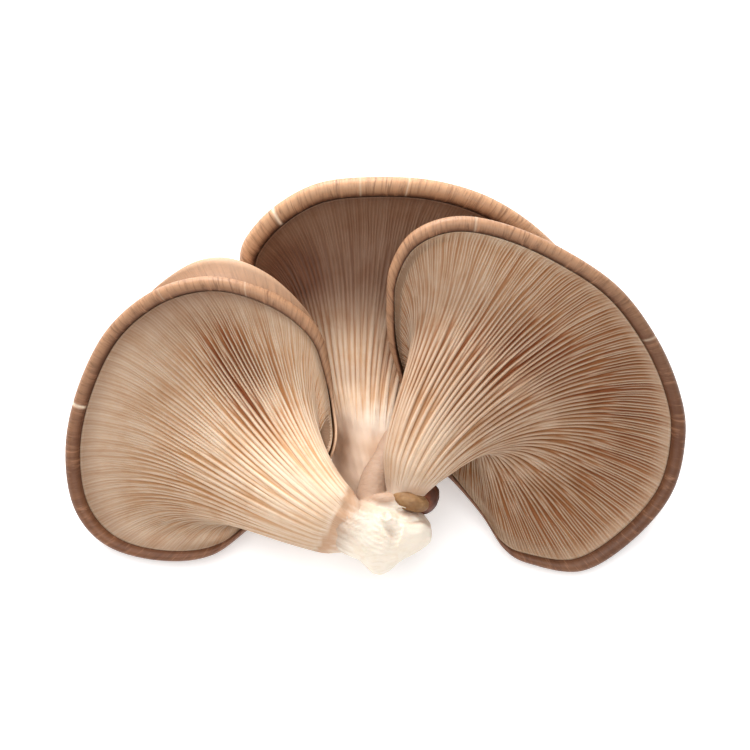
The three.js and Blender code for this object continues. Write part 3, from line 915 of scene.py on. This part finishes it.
# %% The groove tree
def groove_tree():
    tree = bpy.data.node_groups.new("cut_grooves", "GeometryNodeTree")
    face = tree.interface
    face.new_socket("Geometry", in_out="INPUT", socket_type="NodeSocketGeometry")
    for name, value in (*GROOVE_SIZES.items(), ("Seed", 1.0)):
        face.new_socket(name, in_out="INPUT", socket_type="NodeSocketFloat").default_value = value
    face.new_socket("Flesh", in_out="INPUT", socket_type="NodeSocketMaterial")
    face.new_socket("Geometry", in_out="OUTPUT", socket_type="NodeSocketGeometry")
    given = tree.nodes.new("NodeGroupInput").outputs

    def new(kind, inputs, output=0, **settings):
        return add_node(tree, kind, inputs, **settings).outputs[output]

    def named(name, kind):
        return new("GeometryNodeInputNamedAttribute", dict(Name=name), "Attribute", data_type=kind)

    def maths(operation, *terms):
        return new("ShaderNodeMath", enumerate(terms), operation=operation)

    def speckle(scale, seed_shift):
        inputs = dict(W=maths("ADD", given["Seed"], seed_shift), Scale=scale, Detail=2.0)
        return new("ShaderNodeTexNoise", inputs, "Fac", noise_dimensions="4D")

    def scaled(vector, share):
        return new("ShaderNodeVectorMath", {0: vector, "Scale": share}, operation="SCALE")

    groove, depth = named("groove", "FLOAT"), named("depth", "FLOAT")
    cut = maths("MULTIPLY", maths("MULTIPLY", groove, depth), given["Groove depth"])
    span = {"Value": speckle(420.0, 5.0), "From Min": 0.66, "From Max": 0.76}
    nick = new("ShaderNodeMapRange", span, "Result", interpolation_type="SMOOTHSTEP")
    crest = maths("MULTIPLY", maths("SUBTRACT", 1.0, groove), depth)
    nicked = maths("MULTIPLY", maths("MULTIPLY", nick, crest), given["Nick depth"])
    push = scaled(named("inward", "FLOAT_VECTOR"), maths("ADD", cut, nicked))
    sway = maths("MULTIPLY", maths("SUBTRACT", speckle(260.0, 0.0), 0.5), given["Wander"])
    lean = scaled(named("sideways", "FLOAT_VECTOR"), maths("MULTIPLY", sway, crest))
    offset = new("ShaderNodeVectorMath", {0: push, 1: lean})
    moved = new("GeometryNodeSetPosition", dict(Geometry=given["Geometry"], Offset=offset))
    real = new("GeometryNodeRealizeInstances", {0: moved})
    painted = new("GeometryNodeSetMaterial", dict(Geometry=real, Material=given["Flesh"]))
    put(painted, tree.nodes.new("NodeGroupOutput").inputs["Geometry"])
    return tree


GROOVE_TREE = groove_tree()
print("tree:", GROOVE_TREE.name, "with", len(GROOVE_TREE.nodes), "nodes")


# %% Run a tree on a piece and keep the plain mesh
def keep_result(piece):
    """Puts the mesh that the modifiers make in the place of the piece's own."""
    evaluated = piece.evaluated_get(bpy.context.evaluated_depsgraph_get())
    mesh = bpy.data.meshes.new_from_object(evaluated)
    piece.modifiers.clear()
    old, piece.data = piece.data, mesh
    bpy.data.meshes.remove(old)
    mesh.name = piece.name
    return piece


def run_tree(piece, tree, **values):
    modifier = piece.modifiers.new("tree", "NODES")
    modifier.node_group = tree
    for item in tree.interface.items_tree:
        if item.item_type == "SOCKET" and item.in_out == "INPUT" and item.name in values:
            modifier[item.identifier] = values[item.name]
    piece.data.update()
    return keep_result(piece)


# %% Make the gill bodies
GILL_ROWS = 84
GILL_GROUPS = dict(left=33, right=35, back=30)
RIM_FADE = dict(left=0.62, right=0.9, back=0.8)
BACK_STEPS = (0.85, 0.58, 0.29, 0.05)


def make_gills(body, groups, seed):
    share, s, groove, gill = lay_gills(body, groups, GILL_ROWS, seed)
    shares, out = np.meshgrid(share, s)
    pitch = 1 / (groups * GILLS_IN_GROUP)
    wander = 0.4 * waves(shares + 0.08 * out, seed, 20, 45) * smoothstep(out, 0, 0.3)
    wander = wander + 0.9 * waves(shares + 0.3 * out, seed + 1, 3, 8) * np.sin(np.pi * out) ** 2
    shares = shares + wander * pitch * smoothstep(-out, -1, -0.9)
    column = body.columns(shares)
    crest = gill_crest(body, column, out * (column["gill_edge"] + 0.26 / column["reach"]))
    around = np.roll(crest, -1, axis=1) - np.roll(crest, 1, axis=1)
    inward = unit(np.cross(around, np.gradient(crest, axis=0)))
    inward = inward * np.sign((inward[0] @ body.down).mean())
    flat = unplan(crest)
    stem = smoothstep(-out, -0.5, -0.3)
    jitter = 2.4 * (np.broadcast_to(gill, out.shape) - 0.5)
    *colours, deep, bare, skin = LOOKS[body.name](flat, out, jitter)
    pale, stain, grey_and_shade, skin = (np.clip(values, 0, 1) for values in (*colours, skin))
    bare = bare * stem
    crest = crest + VIEW * (lumps(flat) * bare)[..., None]
    shallow = smoothstep(-out, -1, -RIM_FADE[body.name]) * smoothstep(out, 0.0, 0.24) * (1 - bare)
    reach = np.minimum(1.0, (0.05 * column["reach"] + 0.2) / 1.5)
    depth = np.clip(deep, 0.1, 1.35) * reach * (0.12 * (1 - bare) + 0.88 * shallow)
    depth = depth * smoothstep(-out, -1.0, -0.985)
    edge = body.columns(shares[0])
    back_rows = [level(body, edge, edge["gill_edge"], np.full(len(share), EDGE_FLESH - SEAM))]
    for step in BACK_STEPS:
        back_rows.append(flesh_face(body, edge, np.full(len(share), step), SEAM))
    rings = np.concatenate([crest[::-1], np.array(back_rows)])

    def full(values, fill):
        tail = np.full((len(back_rows), len(share), *values.shape[2:]), fill, float)
        return np.concatenate([values[::-1], tail])

    along = np.cumsum(np.full(len(share), body.length / len(share) / 1000)) + 0 * rings[..., 0]
    run = np.concatenate([[0], np.cumsum(np.linalg.norm(np.diff(rings, axis=0), axis=-1).mean(axis=1))])
    marks = dict(
        groove=(groove, 1), depth=(depth, 0), pale=(pale, 0.3), stain=(stain, 0.3), grey_and_shade=(grey_and_shade, 0.3),
        gill=(np.broadcast_to(gill, out.shape), 0.5), bare=(bare, 0), skin=(skin, 0),
    )
    piece = shell(
        f"{body.name}_gill_body", rings, GILL_FINISH, (body.foot, rings[-1].mean(axis=0)),
        numbers={name: full(values, fill) for name, (values, fill) in marks.items()},
        vectors=dict(inward=full(inward, 0), sideways=full(unit(around), 0)),
        along=along, inward=run[:, None] / 1000 + 0 * rings[..., 0],
    )
    return run_tree(piece, GROOVE_TREE, **GROOVE_SIZES, Seed=float(seed), Flesh=GILL_FINISH)


gill_pieces = {}
for i, (name, body) in enumerate(BODIES.items()):
    gill_pieces[name] = make_gills(body, GILL_GROUPS[name], 41 + i)
    print(gill_pieces[name].name, len(gill_pieces[name].data.polygons), "faces")

# %% [markdown]
# ## The butt
# The butt is the torn lump that held the cluster to its log. We start from the CAD's rounded
# sections and add the ends of the right and back stems, a root that flows out of the left stem and
# two short strands, so that no seam shows. A voxel remesh fuses them, torn plates are pressed into
# the front, and noise pushes the surface about, as a sculptor would with fingers.

# %% Sections of the butt
BUTT_SECTIONS = np.array([
    (-6.5, -38.5, 5, 3, 3), (-5, -40, 4.5, 6.5, 6), (-3, -41, 3.5, 8.4, 9), (0, -42.5, 2, 8.7, 10.5),
    (3.5, -42, 1, 8.4, 10.5), (6.5, -41.5, 1, 7.1, 9.5), (9.5, -41, 1, 6, 8), (12, -40.5, 1, 4.5, 6.5),
    (14.5, -41, 1, 2.6, 4),
], float)
BUTT_ENDS = ((-7.2, -38, 5), (15, -41, 1))
BUTT_VOXEL = 0.0005
BUTT_SMOOTHING = 14
BUTT_NOISE = [(0.006, 0.0004), (0.0025, 0.00015), (0.0011, 0.00008)]
CORE_ROWS, CORE_SIDES = 33, 64
STEM_END_ROWS, STEM_END_SIDES = 14, 48
STRAND_ROWS, STRAND_SIDES = 22, 40


def butt_core():
    sections = open_spline(BUTT_SECTIONS, CORE_ROWS)
    angle = np.arange(CORE_SIDES) / CORE_SIDES * 2 * np.pi
    rows = []
    for k, (p, q, d, height, depth) in enumerate(sections):
        s = k / 4
        lump = 1 + 0.035 * np.sin(3 * angle + 1.3 * s) + 0.03 * np.sin(5 * angle - 2.1 * s)
        ring = [p + 0 * angle, q + height * lump * np.cos(angle), d + depth * lump * np.sin(angle)]
        rows.append(np.stack(ring, axis=-1))
    return shell("butt_core", plan(rows), BUTT_FINISH, tuple(plan(BUTT_ENDS)))


def tube(name, points, heading, size, sides, back=1.0):
    """A tube of flesh along a line of points, flatter behind where back is under 1."""
    front = unit(VIEW - heading * (heading @ VIEW)[:, None])
    side = np.cross(heading, front)
    angle = np.arange(sides) / sides * 2 * np.pi
    cosine = np.cos(angle)
    cosine = np.where(cosine < 0, cosine * back, cosine)
    ring = front[:, None] * cosine[:, None] + side[:, None] * np.sin(angle)[:, None]
    rings = points[:, None] + ring * size[:, None, None]
    return shell(name, rings, BUTT_FINISH, (points[0], points[-1]))


def stem_end(body, reach, swell):
    """The lowest part of a stem, a little inside its gills, tapering up into it."""
    line = stem_axis(body, np.linspace(0, reach, STEM_END_ROWS))
    size = body.foot_radius * np.linspace(swell, 0.8, STEM_END_ROWS)
    return tube(f"{body.name}_stem_end", *line, size, STEM_END_SIDES, STEM_BACK)


def strand(name, places, sizes):
    """A tapering strand of flesh through a few places of the plan."""
    line = open_spline(np.column_stack([places, sizes]), STRAND_ROWS)
    points = plan(line[:, :3])
    return tube(name, points, unit(np.gradient(points, axis=0)), line[:, 3], STRAND_SIDES)


# %% Fuse and sculpt the butt
def joined(name, pieces):
    with bpy.context.temp_override(
        active_object=pieces[0], selected_objects=pieces, selected_editable_objects=pieces
    ):
        bpy.ops.object.join()
    pieces[0].name = name
    return pieces[0]


def fused(piece, voxel, smooth):
    remesh = piece.modifiers.new("fuse", "REMESH")
    remesh.mode = "VOXEL"
    remesh.voxel_size = voxel
    soften = piece.modifiers.new("soften", "SMOOTH")
    soften.iterations = smooth
    soften.factor = 0.5
    return keep_result(piece)


def points_of(mesh, field="co"):
    values = np.empty(len(mesh.vertices) * 3)
    if field == "co":
        mesh.vertices.foreach_get("co", values)
    else:
        mesh.vertex_normals.foreach_get("vector", values)
    return values.reshape(-1, 3)


def set_points(mesh, points):
    mesh.vertices.foreach_set("co", points.ravel())
    mesh.update()


def fingered(points, normals, seed, sizes):
    """Pushes points in and out by smooth noise of a few sizes, all in metres."""
    shift = np.zeros(len(points))
    for size, amount in sizes:
        for k, point in enumerate(points):
            shift[k] += amount * noise.noise(Vector(point / size) + Vector((seed, 0, 0)))
    return points + normals * shift[:, None]


def pressed(flat):
    """How far the swollen front goes back to two nearly flat torn faces, in millimetres."""
    p, q, d = flat.T
    front = 10.4 - 0.1 * p - 0.12 * (q + 41)
    below = (p - 1.3) * 0.519 - (q + 50.6) * 0.857
    front = np.minimum(front, front - 0.8 * below)
    return -0.75 * np.maximum(0, d - front) * smoothstep(p, -7, -1)


def torn_relief(flat):
    """How far torn plates, a curl and soft ripples stand out of the butt, in millimetres."""
    p, q = flat[:, 0], flat[:, 1]
    right_side = smoothstep(p - 0.25 * (q + 40), 6.4, 7.1)
    relief = right_side * smoothstep(-q, 37.7, 38.4) * np.clip(0.9 + 0.1 * (q + 38), 0, 1)
    relief -= 0.5 * smoothstep(p, 5.2, 6.2) * smoothstep(q, -38.2, -37.4)
    away = np.hypot(p - 2.9, q + 36)
    relief += 0.9 * np.exp(-((away - 1.2) / 0.4) ** 2) - 0.6 * patch(flat, (2.9, -36), (0.7, 0.7))
    relief += 2.0 * patch(flat, (9.5, -36.2), (4.5, 1.8))
    relief -= 0.9 * patch(flat, (4.1, -40.2), (0.7, 1.9), 35)
    relief += 0.6 * patch(flat, (2.7, -40.9), (0.5, 2.0), 35)
    far_out = np.hypot(p - 5, q + 34)
    ripples = np.sin(far_out * 5.2 + 0.6 * np.sin(p * 1.1)) * smoothstep(far_out, 3, 5)
    ripples = ripples * smoothstep(-q, 32, 35) * smoothstep(-far_out, -18, -14)
    return relief + 0.13 * ripples * (1 - right_side)


left, right, back = (BODIES[name] for name in ("left", "right", "back"))
flank = strand("right_flank", [(-1, -38, -2), (-0.6, -30, -3.5), (2.0, -23, -6), (4.4, -15, -9)],
               [4.6, 4.2, 3.4, 1.8])
root = strand(
    "left_root",
    [(-13.5, -36.3, 0.4), (-10.5, -37.4, 2.6), (-7.5, -38.8, 4.3), (-4, -40.2, 5.1), (0, -41.3, 4.8),
     (3, -42, 3.6)],
    [4.6, 5.8, 6.6, 7.1, 7.4, 7.0],
)
bump = strand("cream_bump", [(-2.5, -33.2, 2.5), (1.2, -32.3, 5), (4.2, -32.9, 5.4), (7, -34.5, 4)],
              [1.3, 1.8, 2.0, 1.5])
butt = joined("butt_flesh_piece", [
    butt_core(), root, stem_end(right, 0.1, 0.95), stem_end(back, 0.12, 1.0), flank, bump,
])
butt = fused(butt, BUTT_VOXEL, BUTT_SMOOTHING)
butt_points = points_of(butt.data)
flat = unplan(butt_points * 1000 - SHIFT)
facing = np.clip(points_of(butt.data, "normal") @ VIEW * 1.6, 0, 1)
butt_points = butt_points + VIEW * ((pressed(flat) + torn_relief(flat)) * facing)[:, None] / 1000
set_points(butt.data, butt_points)
rough = smoothstep(flat[:, 0], -9, 2)[:, None]
moved = fingered(butt_points, points_of(butt.data, "normal"), 3.0, BUTT_NOISE)
butt_points = butt_points + (moved - butt_points) * rough
set_points(butt.data, butt_points)
torn = np.clip(patch(flat, (11, -42), (6, 4)) * 1.2, 0, 1) * smoothstep(flat[:, 2], 2, 6)
# Pinkish brown skin here and there; in the dent and on the flank towards the back stem this darker colour
# is partly painted shade.
skin = bare_skin(flat) + 0.35 * patch(flat, (4.1, -40.2), (0.9, 2.0), 35)
skin = skin + 0.95 * smoothstep(flat[:, 1], -34, -30) + 0.95 * patch(flat, (2.3, -31.5), (3.4, 2.4))
skin = np.clip(skin, 0, 1)
# Painted shade: faces that turn up towards the key light are painted darker, so they don't glare.
upwards = unplan(points_of(butt.data, "normal"))[:, 1]
painted_dimming = 0.75 * smoothstep(upwards, 0.25, 0.9)
for key, values in (("torn", torn), ("skin", skin), ("painted_dimming", painted_dimming)):
    butt.data.attributes.new(key, "FLOAT", "POINT").data.foreach_set("value", values)
butt.data.materials.clear()
butt.data.materials.append(BUTT_FINISH)
butt.data.polygons.foreach_set("use_smooth", np.ones(len(butt.data.polygons), bool))
print("butt:", len(butt.data.polygons), "faces")

# %% [markdown]
# ## The young mushroom
# A tiny mushroom was crushed between the butt and the foot of the right-hand stem. Only its dark
# round cap and a tan torn plate of its stem show. Both are fine eggs, pushed about by noise.


# %% Make the young mushroom
EGG_ROWS, EGG_COLUMNS = 40, 72
POLE_GAP = 0.04


def egg(name, centre, half, turn, material, seed, bumps):
    up = np.linspace(POLE_GAP, np.pi - POLE_GAP, EGG_ROWS)[:, None]
    around = (np.arange(EGG_COLUMNS) / EGG_COLUMNS * 2 * np.pi)[None]
    ball = [np.sin(up) * np.cos(around), np.cos(up) + 0 * around, np.sin(up) * np.sin(around)]
    ball = np.stack(ball, axis=-1) * np.array(half)
    a = math.radians(turn)
    spin = np.array([[math.cos(a), -math.sin(a), 0], [math.sin(a), math.cos(a), 0], [0, 0, 1]])
    rings = plan(ball @ spin.T + np.array(centre))
    piece = shell(name, rings, material)
    points = fingered(points_of(piece.data), points_of(piece.data, "normal"), seed, bumps)
    set_points(piece.data, points)
    return piece


young_cap = egg("young_cap_skin", (11.5, -31.5, -2), (5.1, 5, 6), 0, YOUNG_CAP_FINISH, 7.0,
                [(0.004, 0.0005), (0.0015, 0.0002)])
young_stem = egg("young_stem_plate", (9.2, -32.6, 5.0), (5.1, 2.6, 3.7), -15, YOUNG_STEM_FINISH, 9.0,
                 [(0.003, 0.0004), (0.0012, 0.00015)])
print("young mushroom:", len(young_cap.data.polygons) + len(young_stem.data.polygons), "faces")

# %% [markdown]
# ## Floor, and the pieces in place of the solids
# A wide pale floor stands in for the studio table. Each piece then hangs on the cluster's root, and
# the solid it stands for is hidden.

# %% Floor
floor_mesh = bpy.data.meshes.new("floor")
floor_mesh.from_pydata([(-3, -3, 0), (3, -3, 0), (3, 3, 0), (-3, 3, 0)], [], [(0, 1, 2, 3)])
floor = linked("floor", floor_mesh)
table_top = Finish("table_top")
for key, value in {
    "Base Color": table_top.layers("f7f7f7", (table_top.noise(table_top.place, 6.0), "fbfbfb")),
    "Roughness": 0.8, "Emission Color": (1.0, 1.0, 1.0, 1.0), "Emission Strength": 0.3,
}.items():
    put(value, table_top.shader.inputs[key])
floor_mesh.materials.append(table_top.material)
print("floor ready")


# %% Hang each piece on the cluster and hide its solid
def stand_for(piece, node):
    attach(piece, "root")
    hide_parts(node)


for name in BODIES:
    stand_for(cap_pieces[name], f"{name}_cap")
    stand_for(gill_pieces[name], f"{name}_gills_and_stem")
stand_for(butt, "butt")
stand_for(young_cap, "young_cap")
stand_for(young_stem, "young_stem")
